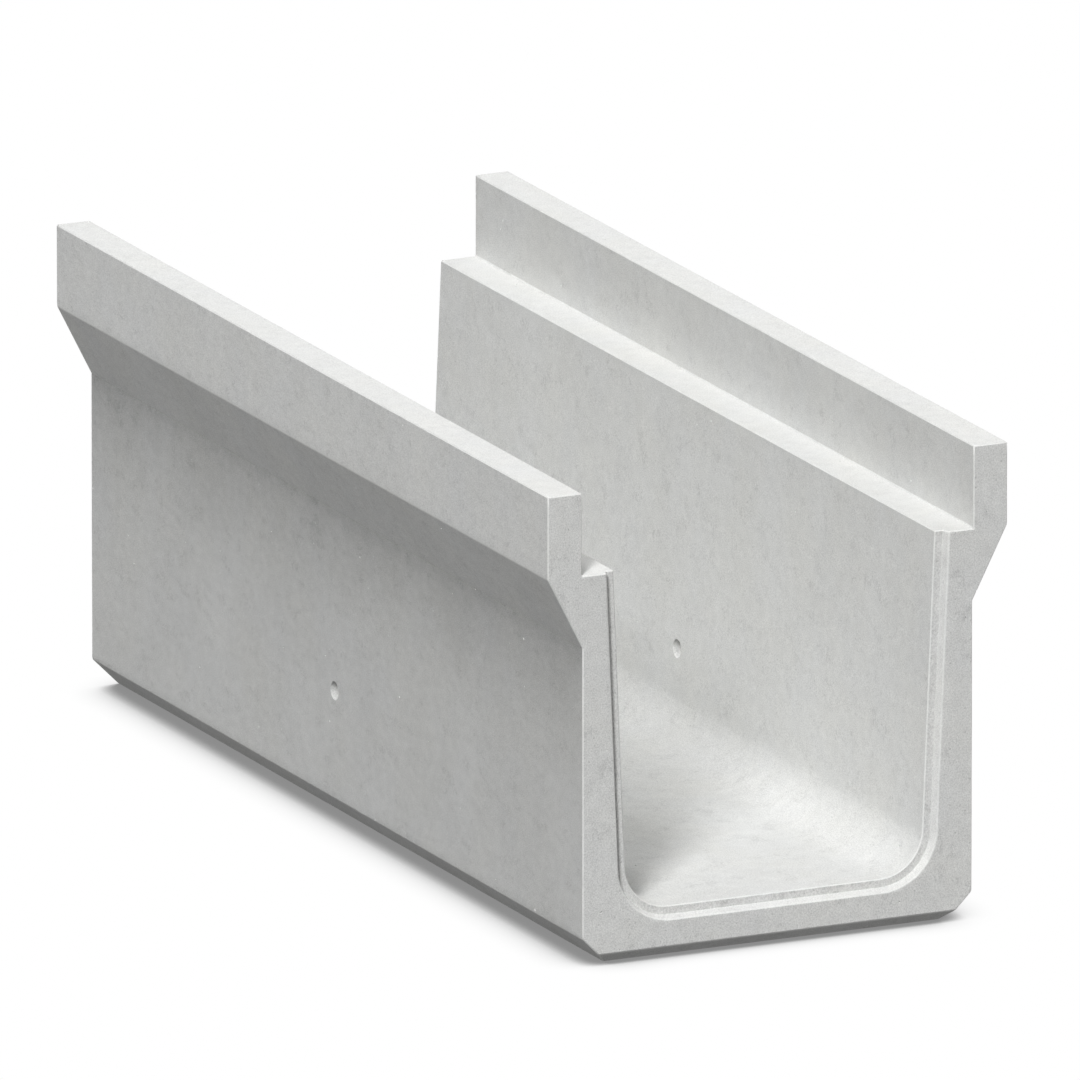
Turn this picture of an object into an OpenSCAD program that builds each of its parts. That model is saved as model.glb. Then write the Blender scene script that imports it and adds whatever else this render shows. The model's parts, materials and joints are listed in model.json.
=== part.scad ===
// Precast concrete U-drain channel: one casting, open at the top and at both
// ends, with seats for drop-in covers. Millimetres. X runs across the drain,
// Y runs along it and Z is up. The underside lies on Z = 0, and the end with
// the joint rebate faces -Y.

/* [Waterway] */
// Length of one unit along the drain
unit_len = 2000; // [800:10:3000]
// Clear width between the walls at the cover seats
clear_w = 600; // [400:10:1000]
// Clear depth from the cover seats down to the drain floor
clear_depth = 600; // [450:10:1000]
// How far each wall leans in between the seat and the floor
wall_draft = 25; // [5:1:40]
// Radius of the two corners between the floor and the walls
corner_r = 80; // [30:5:100]

/* [Concrete] */
// Thickness of each wall at the cover seat
wall_t = 65; // [50:1:120]
// Thickness of the base under the drain floor
base_t = 88; // [70:1:160]
// Chamfer along both bottom edges of the unit
side_chamfer = 50; // [20:5:60]

/* [Head of the walls] */
// Depth of the cover recess, from the top down to the seat
seat_depth = 145; // [60:5:250]
// Thickness of the upstand outside each cover seat
upstand_t = 64; // [35:1:80]
// How far each haunch stands out from the wall
haunch_out = 65; // [40:5:100]
// Height of the sloping underside of each haunch
haunch_h = 127; // [60:1:200]

/* [Joint end] */
// Width of the flat floor of the rebate round the waterway
rebate_flat = 15; // [8:1:20]
// Extra width that the rebate gains at the face, from its splayed side
rebate_splay = 5; // [2:1:8]
// Depth of the rebate into the end face
rebate_depth = 15; // [8:1:25]
// Height of the chamfer under the joint end face
end_chamfer_h = 20; // [8:1:25]
// Length of that chamfer along the underside
end_chamfer_in = 26; // [8:1:40]

/* [Weep holes] */
// Bore of the hole through each wall
weep_d = 32; // [16:1:60]
// Height of its centre above the drain floor
weep_rise = 152; // [135:1:180]
// Distance of its centre from mid length, towards the plain end
weep_shift = 0; // [-300:10:300]

/* [Hidden] */
$fn = 96;
// How far a cutting shape runs past the face that it cuts
past = 10;

// Heights
floor_z = base_t;
seat_z = floor_z + clear_depth;
top_z = seat_z + seat_depth;
haunch_z = seat_z - haunch_h;

// Half widths
seat_x = clear_w / 2;
floor_x = seat_x - wall_draft;
wall_x = seat_x + wall_t;
head_x = wall_x + haunch_out;
upstand_x = head_x - upstand_t;

// Lean of the inner faces, and the centre of the rounded bottom corner
lean = atan(wall_draft / clear_depth);
corner_x = floor_x - corner_r * tan(45 - lean / 2);
corner_z = floor_z + corner_r;
// Length of the flat inner face, from the rounded corner up to the seat
face_len = (clear_depth - corner_r * (1 - sin(lean))) / cos(lean);

joint_y = -unit_len / 2;

// Points on the +X side followed by the same points on the -X side
function both_sides(right) = concat(
    right,
    [for (i = [len(right) - 1 : -1 : 0]) [-right[i][0], right[i][1]]]
);

// An outline in X and Z, run the whole length of the unit
module along_unit(length) {
    translate([0, length / 2, 0])
        rotate([90, 0, 0])
            linear_extrude(length)
                children();
}

// The section without its waterway, from the underside up to the upstands
module outer_outline() {
    polygon(both_sides([
        [wall_x - side_chamfer, 0],
        [wall_x, side_chamfer],
        [wall_x, haunch_z],
        [head_x, seat_z],
        [head_x, top_z],
        [upstand_x, top_z],
        [upstand_x, seat_z]
    ]));
}

// The waterway: floor, rounded corners and leaning walls
module waterway_outline() {
    polygon(both_sides([
        [corner_x, floor_z],
        [corner_x + corner_r * cos(lean), corner_z - corner_r * sin(lean)],
        [seat_x + past * tan(lean), seat_z + past]
    ]));
    for (side = [-1, 1])
        translate([side * corner_x, corner_z])
            circle(r = corner_r);
}

// The plug that leaves the joint rebate, the set-back strip round the waterway
// that a mortar joint fills. Its splayed sides stay parallel to the floor, the
// rounded corners and the leaning walls, so it spans four cones.
module joint_rebate() {
    splay = rebate_splay / rebate_depth;
    wall_run = face_len + past;
    translate([0, joint_y, 0])
        rotate([90, 0, 0])
            hull()
                for (side = [-1, 1], up = [0, wall_run])
                    translate([
                        side * (corner_x + up * sin(lean)),
                        corner_z + up * cos(lean),
                        -rebate_depth
                    ])
                        cylinder(
                            h = rebate_depth + past,
                            r1 = corner_r + rebate_flat,
                            r2 = corner_r + rebate_flat + (rebate_depth + past) * splay
                        );
}

// The wedge taken off the bottom edge of the joint end
module end_chamfer() {
    slope = end_chamfer_h / end_chamfer_in;
    translate([-wall_x - past, joint_y, 0])
        rotate([90, 0, 90])
            linear_extrude(2 * (wall_x + past))
                polygon([
                    [-past, -past],
                    [end_chamfer_in + past / slope, -past],
                    [-past, end_chamfer_h + past * slope]
                ]);
}

// One straight bore through both walls
module weep_holes() {
    translate([0, weep_shift, floor_z + weep_rise])
        rotate([0, 90, 0])
            cylinder(h = 2 * (wall_x + past), d = weep_d, center = true);
}

module drain_channel() {
    color("#c4c4c1")
        difference() {
            along_unit(unit_len)
                outer_outline();
            along_unit(unit_len + 2 * past)
                waterway_outline();
            joint_rebate();
            end_chamfer();
            weep_holes();
        }
}

drain_channel();
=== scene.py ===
import json
import math
import random

import bmesh
import bpy
from mathutils import Matrix, Vector, noise


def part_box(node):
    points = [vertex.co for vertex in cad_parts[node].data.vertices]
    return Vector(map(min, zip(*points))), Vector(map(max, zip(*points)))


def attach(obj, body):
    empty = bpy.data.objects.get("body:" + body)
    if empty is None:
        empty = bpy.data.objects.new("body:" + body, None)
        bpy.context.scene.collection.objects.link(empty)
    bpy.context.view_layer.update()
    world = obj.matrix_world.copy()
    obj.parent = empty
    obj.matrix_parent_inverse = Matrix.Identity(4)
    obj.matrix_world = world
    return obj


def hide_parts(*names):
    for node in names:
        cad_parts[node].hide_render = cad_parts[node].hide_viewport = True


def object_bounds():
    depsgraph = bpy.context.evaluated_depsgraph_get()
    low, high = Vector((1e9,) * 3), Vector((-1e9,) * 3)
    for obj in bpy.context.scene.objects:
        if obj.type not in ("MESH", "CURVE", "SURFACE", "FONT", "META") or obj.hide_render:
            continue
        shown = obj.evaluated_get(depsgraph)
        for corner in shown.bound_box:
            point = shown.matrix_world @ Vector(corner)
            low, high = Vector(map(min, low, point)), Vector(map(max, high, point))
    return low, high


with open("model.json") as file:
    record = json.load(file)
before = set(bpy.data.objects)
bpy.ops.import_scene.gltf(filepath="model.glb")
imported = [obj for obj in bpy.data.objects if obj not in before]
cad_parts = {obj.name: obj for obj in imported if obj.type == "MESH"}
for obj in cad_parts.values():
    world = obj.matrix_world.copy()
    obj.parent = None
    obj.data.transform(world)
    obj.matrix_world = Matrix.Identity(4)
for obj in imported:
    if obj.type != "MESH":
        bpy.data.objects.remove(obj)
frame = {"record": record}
cad_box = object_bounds()


# ---------------------------------------------------------------------------
# Channel casting. One piece of dense grey concrete, cast upside down in a
# steel mould with an inner core, then turned over. The faces are smooth, the
# arrises are slightly eased, and air bubbles leave small pin holes.
# ---------------------------------------------------------------------------
low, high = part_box("drain_channel")
spots = {mount["name"]: Vector(mount["pos_m"]) for mount in frame["record"]["mounts"]}
joint_y, plain_y = low.y, high.y
head_x, top_z = high.x, high.z
seat_z = spots["right_cover_seat"].z
weep = spots["right_weep_hole"]

# Sizes, in metres
clear_width, clear_depth = 0.600, 0.600
wall_thickness = 0.065
upstand_thickness = 0.064
haunch_height = 0.127
wall_draft = 0.025
corner_radius = 0.080
side_chamfer = 0.050
rebate_flat, rebate_splay, rebate_depth = 0.015, 0.005, 0.015
end_chamfer_height, end_chamfer_run = 0.020, 0.026
weep_radius = 0.016
arris_width, rim_width = 0.0022, 0.0007

seat_x = clear_width / 2
wall_x = seat_x + wall_thickness
upstand_x = head_x - upstand_thickness
haunch_z = seat_z - haunch_height
floor_z = seat_z - clear_depth
lean = math.atan(wall_draft / (seat_z - floor_z))
corner_x = seat_x - wall_draft - corner_radius * math.tan(math.pi / 4 - lean / 2)
corner_z = floor_z + corner_radius

# Corners nearer than this are one, and faces that turn by less are one flat face
weld = 1e-5
nearly_flat = math.radians(1)

casting = bmesh.new()


def string_of_edges(points):
    """New vertices through the points, joined one to the next."""
    verts = [casting.verts.new(point) for point in points]
    edges = [casting.edges.new(pair) for pair in zip(verts, verts[1:])]
    return verts, edges


def waterway_edges(set_off, y):
    """From the middle of the drain floor round the corner and up to the seat,
    that far outside the surface of the waterway."""
    already = set(casting.edges)
    floor_height = corner_z - corner_radius - set_off
    verts, _ = string_of_edges([(0, y, floor_height), (corner_x, y, floor_height)])
    turned = bmesh.ops.spin(
        casting, geom=[verts[-1]], cent=(corner_x, y, corner_z), axis=(0, -1, 0),
        angle=math.pi / 2 - lean, steps=18, use_merge=False,
    )
    head = casting.verts.new((seat_x + set_off / math.cos(lean), y, seat_z))
    casting.edges.new((turned["geom_last"][0], head))
    return verts[0], head, [edge for edge in casting.edges if edge not in already]


# The waterway of the right half, and the rebate round its joint end
rings = [
    waterway_edges(0, plain_y),
    waterway_edges(0, joint_y + rebate_depth),
    waterway_edges(rebate_flat, joint_y + rebate_depth),
    waterway_edges(rebate_flat + rebate_splay, joint_y),
]
for nearer, farther in zip(rings, rings[1:]):
    bmesh.ops.bridge_loops(casting, edges=nearer[2] + farther[2])

# The outside of the right half, from the middle of the underside up to the seat
outside, outside_edges = string_of_edges([
    (0, plain_y, 0),
    (wall_x - side_chamfer, plain_y, 0),
    (wall_x, plain_y, side_chamfer),
    (wall_x, plain_y, haunch_z),
    (head_x, plain_y, seat_z),
    (head_x, plain_y, top_z),
    (upstand_x, plain_y, top_z),
    (upstand_x, plain_y, seat_z),
])
pulled = bmesh.ops.extrude_edge_only(casting, edges=outside_edges)
pulled_verts = [item for item in pulled["geom"] if isinstance(item, bmesh.types.BMVert)]
bmesh.ops.translate(casting, verts=pulled_verts, vec=(0, joint_y - plain_y, 0))


def vert_at(x, y, z):
    """The vertex of the casting that is nearest to a place."""
    return min(casting.verts, key=lambda vert: (vert.co - Vector((x, y, z))).length)


def on_seam(edge):
    """Whether an edge runs along the drain where the two halves meet."""
    first, second = (vert.co for vert in edge.verts)
    return max(abs(first.x), abs(second.x)) < weld and abs(first.y - second.y) > weld


# The two ends, the seat and the other half
for y, ring in ((plain_y, rings[0]), (joint_y, rings[-1])):
    casting.edges.new((ring[0], vert_at(0, y, 0)))
    casting.edges.new((ring[1], vert_at(upstand_x, y, seat_z)))
open_edges = [edge for edge in casting.edges if len(edge.link_faces) < 2 and not on_seam(edge)]
bmesh.ops.edgenet_fill(casting, edges=open_edges)
bmesh.ops.mirror(
    casting, geom=casting.verts[:] + casting.edges[:] + casting.faces[:],
    matrix=Matrix.Identity(4), merge_dist=weld, axis="X",
)
bmesh.ops.remove_doubles(casting, verts=casting.verts, dist=weld)
bmesh.ops.recalc_face_normals(casting, faces=casting.faces)
bmesh.ops.dissolve_limit(
    casting, angle_limit=nearly_flat, verts=casting.verts, edges=casting.edges,
)

# The wedge off the bottom edge of the joint end
bmesh.ops.bisect_plane(
    casting, geom=casting.verts[:] + casting.edges[:] + casting.faces[:],
    plane_co=(0, joint_y, end_chamfer_height),
    plane_no=(0, -end_chamfer_height, -end_chamfer_run), clear_outer=True,
)
bmesh.ops.holes_fill(casting, edges=[edge for edge in casting.edges if edge.is_boundary])
bmesh.ops.recalc_face_normals(casting, faces=casting.faces)

casting_mesh = bpy.data.meshes.new("channel_casting")
casting.to_mesh(casting_mesh)
casting.free()
channel_casting = bpy.data.objects.new("channel_casting", casting_mesh)
bpy.context.scene.collection.objects.link(channel_casting)


def cut_away(shape, name, solver):
    """Takes the shape of a bmesh out of the casting."""
    mesh = bpy.data.meshes.new(name)
    shape.to_mesh(mesh)
    shape.free()
    tool = bpy.data.objects.new(name, mesh)
    bpy.context.scene.collection.objects.link(tool)
    cut = channel_casting.modifiers.new(name, "BOOLEAN")
    cut.operation, cut.solver, cut.object = "DIFFERENCE", solver, tool
    bpy.context.view_layer.update()
    made = bpy.data.meshes.new_from_object(
        channel_casting.evaluated_get(bpy.context.evaluated_depsgraph_get())
    )
    channel_casting.modifiers.clear()
    bpy.data.objects.remove(tool)
    bpy.data.meshes.remove(mesh)
    old, channel_casting.data = channel_casting.data, made
    bpy.data.meshes.remove(old)
    made.name = "channel_casting"


# The weep holes: one straight bore through both walls
bore = bmesh.new()
bmesh.ops.create_cone(
    bore, cap_ends=True, segments=40, radius1=weep_radius, radius2=weep_radius,
    depth=2.2 * wall_x,
    matrix=Matrix.Translation((0, weep.y, weep.z)) @ Matrix.Rotation(math.pi / 2, 4, "Y"),
)
cut_away(bore, "weep_bore", "EXACT")

# The eased arrises, and the soft inner corners along the whole drain
casting = bmesh.new()
casting.from_mesh(channel_casting.data)
bmesh.ops.remove_doubles(casting, verts=casting.verts, dist=weld)
bmesh.ops.dissolve_limit(
    casting, angle_limit=nearly_flat, verts=casting.verts, edges=casting.edges,
)


def on_weep_rim(edge):
    """Whether both ends of an edge lie on the rim of a weep hole."""
    return all(
        math.hypot(vert.co.y - weep.y, vert.co.z - weep.z) < weep_radius + 1e-4
        for vert in edge.verts
    )


def to_be_eased(edge):
    """Whether an edge is a convex arris, or a sharp inner corner over 1 m long."""
    turn = edge.calc_face_angle(0)
    if turn < math.radians(24) or on_weep_rim(edge):
        return False
    return edge.is_convex or (edge.calc_length() > 1 and turn > math.radians(38))


# Faces that lie on a convex arris are marked, for a finish of their own
rounded = casting.faces.layers.int.new("rounded")
eased = bmesh.ops.bevel(
    casting, geom=[edge for edge in casting.edges if to_be_eased(edge)], offset=arris_width,
    offset_type="OFFSET", segments=1, profile=0.5, affect="EDGES", clamp_overlap=True, material=-1,
)
for face in eased["faces"]:
    if sum(edge.calc_face_angle_signed(0) * edge.calc_length() for edge in face.edges) > 0:
        face[rounded] = 1

# The rims of the weep holes, which are almost sharp
rims = [
    edge for edge in casting.edges
    if edge.calc_face_angle(0) > math.radians(40) and on_weep_rim(edge)
]
bmesh.ops.bevel(
    casting, geom=rims, offset=rim_width, offset_type="OFFSET", segments=2,
    profile=0.5, affect="EDGES", clamp_overlap=True, material=-1,
)

# Cut into faces of about 2 cm, which undulate as a steel mould's panels do. The cuts
# are moved on by a small share of a face, so that none lies along an edge.
cut_shift = 0.03
for axis, first, last, pitch in ((0, -head_x, head_x, 0.0217), (1, joint_y, plain_y, 0.0203),
                                 (2, 0, top_z, 0.0211)):
    count = round((last - first) / pitch)
    for step in range(1, count):
        place, across = Vector(), Vector()
        place[axis] = first + (step + cut_shift) * (last - first) / count
        across[axis] = 1
        bmesh.ops.bisect_plane(
            casting, geom=casting.verts[:] + casting.edges[:] + casting.faces[:],
            plane_co=place, plane_no=across, dist=2e-4,
        )
bmesh.ops.dissolve_degenerate(casting, edges=casting.edges, dist=1e-4)
casting.normal_update()
swell_depth = 0.00028
for vert in casting.verts:
    if vert.co.z > 0.001:
        swell = 1.3 * noise.noise(vert.co * 4.3) + 0.35 * noise.noise(vert.co * 19 + Vector((7, 3, 9)))
        vert.co -= vert.normal * swell_depth * (1.2 + swell)

# Pin holes where air bubbles lay against the mould, and a few nicks on the arrises.
# No two lie in the same or in touching cells of a net, so that they never overlap.
bubble_count, nick_count = 1100, 70
cell_size = 0.009
end_face_weight = 1.6
chance = random.Random(41)


def corners(item):
    """The corners of an edge or face in order of place, since bevels shuffle the faces."""
    return sorted(tuple(vert.co) for vert in item.verts)


open_faces = sorted(
    (face for face in casting.faces if face.calc_area() > 8e-5 and face.normal.z > -0.9),
    key=corners,
)
weights = [
    face.calc_area() * (end_face_weight if abs(face.normal.y) > 0.9 else 1.0)
    for face in open_faces
]
convex = sorted(
    (edge for edge in casting.edges
     if edge.is_convex and edge.calc_face_angle(0) > math.radians(20) and edge.calc_length() > 0.012
     and min(vert.co.z for vert in edge.verts) > 0.03),
    key=corners,
)
bubbles = bmesh.new()
filled = set()
for number in range(bubble_count):
    if number < nick_count:
        edge = chance.choice(convex)
        start, end = (Vector(corner) for corner in corners(edge))
        point = start.lerp(end, chance.random())
        outward = (edge.link_faces[0].normal + edge.link_faces[1].normal).normalized()
        size = chance.uniform(0.0009, 0.0021)
        centre = point + outward * size * 0.35
    else:
        face = chance.choices(open_faces, weights=weights)[0]
        loop = min(face.loops, key=lambda item: tuple(item.vert.co))
        start = loop.vert.co
        along = loop.link_loop_next.vert.co - start
        over = loop.link_loop_prev.vert.co - start
        outward = face.normal
        size = 0.0006 + 0.0017 * chance.random() ** 3.2
        point = start + along * chance.uniform(0.15, 0.85) + over * chance.uniform(0.15, 0.85)
        centre = point + outward * size * chance.uniform(-0.1, 0.4)
    cell = tuple(round(value / cell_size) for value in centre)
    if any((cell[0] + i, cell[1] + j, cell[2] + k) in filled
           for i in (-1, 0, 1) for j in (-1, 0, 1) for k in (-1, 0, 1)):
        continue
    filled.add(cell)
    turn = Vector((chance.gauss(0, 1), chance.gauss(0, 1), chance.gauss(0, 1))).to_track_quat("Z", "Y")
    stretch = Matrix.Diagonal((chance.uniform(0.8, 1.3), chance.uniform(0.8, 1.3), 1, 1))
    bmesh.ops.create_icosphere(
        bubbles, subdivisions=2 if size > 0.0014 else 1, radius=size,
        matrix=Matrix.Translation(centre) @ turn.to_matrix().to_4x4() @ stretch,
    )
casting.to_mesh(channel_casting.data)
casting.free()
cut_away(bubbles, "bubbles", "MANIFOLD")

# Smooth shading between the sharp edges, of which the line under each haunch is one
finished = channel_casting.data
finished.shade_smooth()
finished.set_sharp_from_angle(angle=math.radians(38))
for edge in finished.edges:
    if all(abs(finished.vertices[end].co.z - haunch_z) < 0.001 for end in edge.vertices):
        edge.use_edge_sharp = True
weighted = channel_casting.modifiers.new("face_normals", "WEIGHTED_NORMAL")
weighted.mode, weighted.keep_sharp = "FACE_AREA", True


def concrete(name, shade, squeeze, cloud, mottle, grain, hairs, pit_shade, roughness, painted_shade_band=None):
    """Grey cement paste with fine sand. A squeeze over 1 flattens the mottling to lie
    along the drain. The amounts of cloud, mottle, grain, hairs and pit shade are shares of
    the shade. The band of painted shade is two heights and an amount: the shade changes by
    none of it at the first height and by all of it at the second, where the finish ends."""
    paint = bpy.data.materials.new(name)
    paint.use_nodes = True
    nodes, links = paint.node_tree.nodes, paint.node_tree.links
    shader = nodes["Principled BSDF"]
    shader.inputs["Roughness"].default_value = roughness
    shader.inputs["Specular IOR Level"].default_value = 0.2
    place = nodes.new("ShaderNodeTexCoord")

    def pattern(scale, up, detail, offset, rough=0.55, warp=0.0):
        """Noise about 0, with that many waves in a metre and "up" times as many in height."""
        turn = nodes.new("ShaderNodeMapping")
        turn.inputs["Scale"].default_value = (scale, scale, scale * up)
        turn.inputs["Location"].default_value = offset
        links.new(place.outputs["Object"], turn.inputs["Vector"])
        spread = nodes.new("ShaderNodeTexNoise")
        spread.inputs["Scale"].default_value = 1
        spread.inputs["Detail"].default_value = detail
        spread.inputs["Roughness"].default_value = rough
        spread.inputs["Distortion"].default_value = warp
        links.new(turn.outputs["Vector"], spread.inputs["Vector"])
        centred = nodes.new("ShaderNodeMath")
        centred.operation = "SUBTRACT"
        links.new(spread.outputs["Fac"], centred.inputs[0])
        centred.inputs[1].default_value = 0.5
        return centred.outputs[0]

    def weigh(total, value, amount):
        """The total, or 1 where there is none yet, and that amount of the value."""
        part = nodes.new("ShaderNodeMath")
        part.operation = "MULTIPLY_ADD"
        links.new(value, part.inputs[0])
        part.inputs[1].default_value = amount
        if total is None:
            part.inputs[2].default_value = 1
        else:
            links.new(total, part.inputs[2])
        return part.outputs[0]

    def between(value, start, end):
        """0 at start and 1 at end, and no more on either side."""
        part = nodes.new("ShaderNodeMapRange")
        part.inputs["From Min"].default_value = start
        part.inputs["From Max"].default_value = end
        links.new(value, part.inputs["Value"])
        return part.outputs["Result"]

    def combined(operation, first, second=None):
        """One sum on one or two values."""
        both = nodes.new("ShaderNodeMath")
        both.operation = operation
        links.new(first, both.inputs[0])
        if second is not None:
            links.new(second, both.inputs[1])
        return both.outputs[0]

    # Broad clouds, mottling of about 2 cm and sand grains
    clouds = pattern(5, 0.8, 2, (3, 1, 4))
    mottles = pattern(42, squeeze, 5, (2, 7, 1))
    grains = pattern(420, squeeze, 2, (8, 2, 8), rough=0.7)

    # Short hair lines, in loose groups, that the release oil leaves
    winding = pattern(66, 0.6 * squeeze, 3, (5, 9, 3), warp=1.0)
    line = between(combined("ABSOLUTE", winding), 0.055, 0.02)
    group = between(pattern(21, squeeze, 3, (1, 6, 12)), 0.05, 0.13)
    hair = combined("MULTIPLY", line, group)

    # Small pits, in about one of six cells of a fine net; their darkness is painted shade
    net = nodes.new("ShaderNodeTexVoronoi")
    net.inputs["Scale"].default_value = 105
    net.inputs["Randomness"].default_value = 1
    links.new(place.outputs["Object"], net.inputs["Vector"])
    lottery = nodes.new("ShaderNodeSeparateColor")
    links.new(net.outputs["Color"], lottery.inputs[0])
    pit_dent_and_shade = combined("MULTIPLY", between(net.outputs["Distance"], 0.22, 0.08),
                   between(lottery.outputs[0], 0.82, 0.83))

    tone = weigh(None, clouds, cloud)
    tone = weigh(tone, mottles, mottle)
    tone = weigh(tone, grains, grain)
    tone = weigh(tone, hair, -hairs)
    # The band is painted shade, deepest at its second height
    if painted_shade_band:
        start, end, amount = painted_shade_band
        height = nodes.new("ShaderNodeSeparateXYZ")
        links.new(place.outputs["Object"], height.inputs[0])
        rise = between(height.outputs["Z"], start, end)
        cubed = combined("MULTIPLY", rise, combined("MULTIPLY", rise, rise))
        tone = weigh(tone, cubed, amount)
    # Painted shade in the pits
    tone = weigh(tone, pit_dent_and_shade, -pit_shade)

    # Warmer and cooler patches of paste
    warm = nodes.new("ShaderNodeMix")
    warm.data_type = "RGBA"
    warm.inputs["A"].default_value = (shade * 0.993, shade, shade * 0.989, 1)
    warm.inputs["B"].default_value = (shade * 0.997, shade, shade * 0.976, 1)
    links.new(between(pattern(7, 0.9, 2, (11, 5, 2)), -0.16, 0.16), warm.inputs["Factor"])
    colour = nodes.new("ShaderNodeVectorMath")
    colour.operation = "SCALE"
    links.new(warm.outputs["Result"], colour.inputs[0])
    links.new(tone, colour.inputs["Scale"])
    links.new(colour.outputs["Vector"], shader.inputs["Base Color"])

    relief = weigh(None, mottles, 0.5)
    relief = weigh(relief, grains, 0.5)
    relief = weigh(relief, hair, -0.35)
    relief = weigh(relief, pit_dent_and_shade, -0.8)
    bump = nodes.new("ShaderNodeBump")
    bump.inputs["Strength"].default_value = 0.35
    bump.inputs["Distance"].default_value = 0.0006
    links.new(relief, bump.inputs["Height"])
    links.new(bump.outputs["Normal"], shader.inputs["Normal"])
    return paint


# The finishes of the casting. The outer faces come off the steel, the inner ones off
# the core and the ends off grainier timber. The tops and seats lay at the bottom of the
# mould, and are the palest, which is painted light. The underside lay open, and is rough.
# Under a haunch the wall is darker, and darker still towards it: painted shade, for the soft shade
# there that these few lamps don't give.
finishes = [
    concrete("formed_face", shade=0.70, squeeze=1.7, cloud=0.17, mottle=0.22, grain=0.85,
             hairs=0.10, pit_shade=0.10, roughness=0.9),
    # The wall under a haunch: painted shade, darker all over and darker still towards the haunch
    concrete("painted_shade_wall", shade=0.62, squeeze=1.7, cloud=0.17, mottle=0.22, grain=0.85,
             hairs=0.10, pit_shade=0.10, roughness=0.9, painted_shade_band=(0.20, haunch_z, -0.328)),
    concrete("cored_face", shade=0.69, squeeze=1.2, cloud=0.12, mottle=0.20, grain=0.80,
             hairs=0.10, pit_shade=0.16, roughness=0.9),
    concrete("stop_end_face", shade=0.70, squeeze=0.9, cloud=0.06, mottle=0.24, grain=0.90,
             hairs=0.13, pit_shade=0.25, roughness=0.92),
    # The paler shade of the tops and seats is painted light
    concrete("head_top", shade=0.76, squeeze=1.0, cloud=0.05, mottle=0.17, grain=0.60,
             hairs=0.05, pit_shade=0.12, roughness=0.88),
    concrete("cover_seat", shade=0.74, squeeze=1.0, cloud=0.05, mottle=0.17, grain=0.60,
             hairs=0.05, pit_shade=0.12, roughness=0.88),
    concrete("open_underside", shade=0.68, squeeze=1.0, cloud=0.10, mottle=0.30, grain=0.80,
             hairs=0.0, pit_shade=0.4, roughness=0.95),
    # The arrises are a little paler than the faces: a painted highlight along the edges
    concrete("eased_arris", shade=0.75, squeeze=0.9, cloud=0.05, mottle=0.20, grain=0.50,
             hairs=0.0, pit_shade=0.0, roughness=0.9),
]
finished.materials.clear()
for paint in finishes:
    finished.materials.append(paint)
slot = {paint.name: index for index, paint in enumerate(finishes)}
for face, mark in zip(finished.polygons, finished.attributes["rounded"].data):
    if mark.value:
        finish = "eased_arris"
    elif abs(face.normal.y) > 0.75:
        finish = "stop_end_face"
    elif face.normal.z > 0.9 and face.center.z > seat_z + 0.01:
        finish = "head_top"
    elif face.normal.z > 0.9 and face.center.z > seat_z - 0.01:
        finish = "cover_seat"
    elif face.center.z < 0.002:
        finish = "open_underside"
    elif face.normal.x * face.center.x < -0.001 or face.normal.z > 0.5:
        finish = "cored_face"
    # The outer wall below a haunch, with its painted shade
    elif face.center.z < haunch_z:
        finish = "painted_shade_wall"
    else:
        finish = "formed_face"
    face.material_index = slot[finish]
finished.attributes.remove(finished.attributes["rounded"])

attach(channel_casting, "root")
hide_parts("drain_channel")


# ---------------------------------------------------------------------------
# Studio: a plain pale floor, soft light from above and in front, and the camera
# ---------------------------------------------------------------------------
floor_mesh = bpy.data.meshes.new("studio_floor")
slab = bmesh.new()
bmesh.ops.create_grid(slab, x_segments=1, y_segments=1, size=20)
slab.to_mesh(floor_mesh)
slab.free()
studio_floor = bpy.data.objects.new("studio_floor", floor_mesh)
bpy.context.scene.collection.objects.link(studio_floor)
floor_paint = bpy.data.materials.new("floor_paint")
floor_paint.use_nodes = True


def seen_directly(nodes, links):
    """1 for the rays that show a surface to the camera, in gloss or through glass too."""
    path = nodes.new("ShaderNodeLightPath")
    direct = path.outputs["Is Camera Ray"]
    for other in ("Is Glossy Ray", "Is Transmission Ray"):
        either = nodes.new("ShaderNodeMath")
        either.operation = "MAXIMUM"
        links.new(direct, either.inputs[0])
        links.new(path.outputs[other], either.inputs[1])
        direct = either.outputs[0]
    return direct


# The floor shows white, with a painted soft shadow where the casting stands on it. Each
# stop of the fade is how open the floor is there, and how bright it then shows.
nodes, links = floor_paint.node_tree.nodes, floor_paint.node_tree.links
nodes.clear()
contact = nodes.new("ShaderNodeAmbientOcclusion")
contact.samples = 24
contact.inputs["Distance"].default_value = 0.122
fade = nodes.new("ShaderNodeValToRGB")
for openness, level in ((0.0, 0.26), (0.28, 0.27), (0.38, 0.43), (0.50, 0.67), (0.59, 0.86),
                        (0.70, 0.95), (0.83, 1.0)):
    stop = fade.color_ramp.elements.new(openness) if openness else fade.color_ramp.elements[0]
    stop.color = (level, level, level, 1)
fade.color_ramp.elements[-1].color = (1, 1, 1, 1)
links.new(contact.outputs["AO"], fade.inputs["Fac"])
white = nodes.new("ShaderNodeEmission")
links.new(fade.outputs["Color"], white.inputs["Color"])
# Other rays see the floor glow faintly, which lights the casting from below
glow_below = nodes.new("ShaderNodeEmission")
glow_below.inputs["Color"].default_value = (0.25, 0.25, 0.25, 1)
choose = nodes.new("ShaderNodeMixShader")
surface = nodes.new("ShaderNodeOutputMaterial")
links.new(seen_directly(nodes, links), choose.inputs[0])
links.new(glow_below.outputs[0], choose.inputs[1])
links.new(white.outputs[0], choose.inputs[2])
links.new(choose.outputs[0], surface.inputs[0])
floor_mesh.materials.append(floor_paint)

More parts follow.
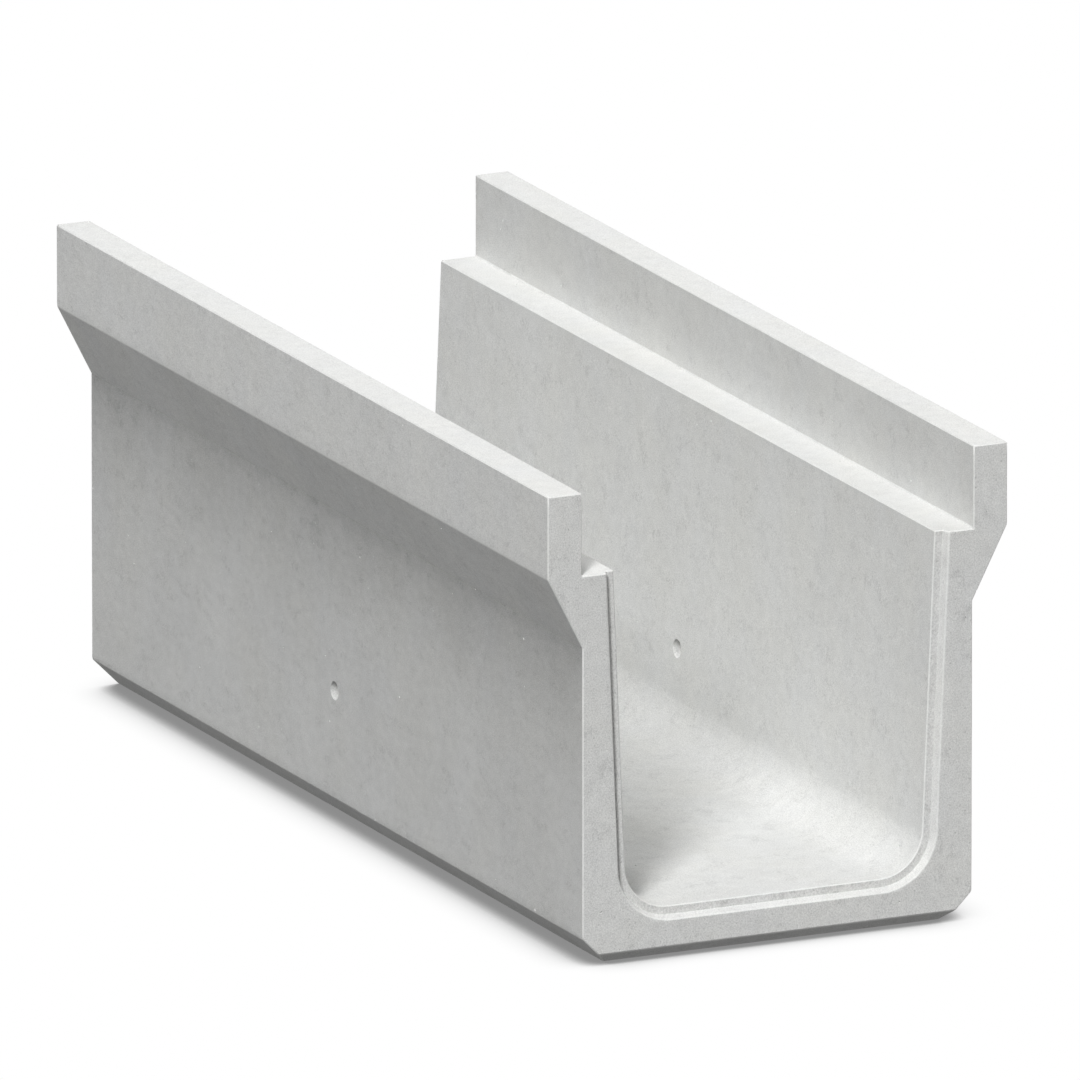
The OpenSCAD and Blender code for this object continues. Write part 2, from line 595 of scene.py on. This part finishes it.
# The sky shows white, and lights the casting faintly from all sides
sky = bpy.data.worlds.new("studio")
sky.use_nodes = True
bpy.context.scene.world = sky
nodes, links = sky.node_tree.nodes, sky.node_tree.links
tone = nodes.new("ShaderNodeMix")
tone.data_type = "RGBA"
tone.inputs["A"].default_value = (0.08, 0.08, 0.08, 1)
tone.inputs["B"].default_value = (1, 1, 1, 1)
links.new(seen_directly(nodes, links), tone.inputs["Factor"])
links.new(tone.outputs["Result"], nodes["Background"].inputs["Color"])


def toward(azimuth, height):
    """The direction to a lamp or camera, with azimuth 0 in front and 90 to the right."""
    azimuth, height = math.radians(azimuth), math.radians(height)
    return Vector((math.sin(azimuth) * math.cos(height), -math.cos(azimuth) * math.cos(height),
                   math.sin(height)))


# Each lamp's azimuth, height and apparent width are in degrees. A strength of 1 makes
# a white surface that faces the lamp fully white.
for name, azimuth, height, width, strength in (
    ("key_lamp", -40, 35, 12, 0.56),
    ("upper_lamp", -40, 50, 12, 0.30),
    ("high_lamp", -40, 75, 13, 0.29),
    ("right_lamp", 90, 12, 35, 0.45),
    ("back_lamp", 175, 8, 35, 0.42),
):
    light = bpy.data.lights.new(name, "SUN")
    light.energy, light.angle = math.pi * strength, math.radians(width)
    lamp = bpy.data.objects.new(name, light)
    lamp.rotation_mode = "QUATERNION"
    lamp.rotation_quaternion = toward(azimuth, height).to_track_quat("Z", "Y")
    bpy.context.scene.collection.objects.link(lamp)

# A long lens far away, so that lines along the drain stay almost parallel
camera_azimuth, camera_height, camera_distance = -25.05, 15.106, 82.27
lens = bpy.data.cameras.new("camera")
lens.lens, lens.sensor_width = 1600, 36
lens.clip_start, lens.clip_end = 1, 400
camera = bpy.data.objects.new("camera", lens)
aim = (cad_box[0] + cad_box[1]) / 2 + Vector((0.0947, 0.1539, 0))
camera.location = aim + toward(camera_azimuth, camera_height) * camera_distance
camera.rotation_mode = "QUATERNION"
camera.rotation_quaternion = toward(camera_azimuth, camera_height).to_track_quat("Z", "Y")
bpy.context.scene.collection.objects.link(camera)
bpy.context.scene.camera = camera

bpy.context.scene.view_settings.view_transform = "Standard"
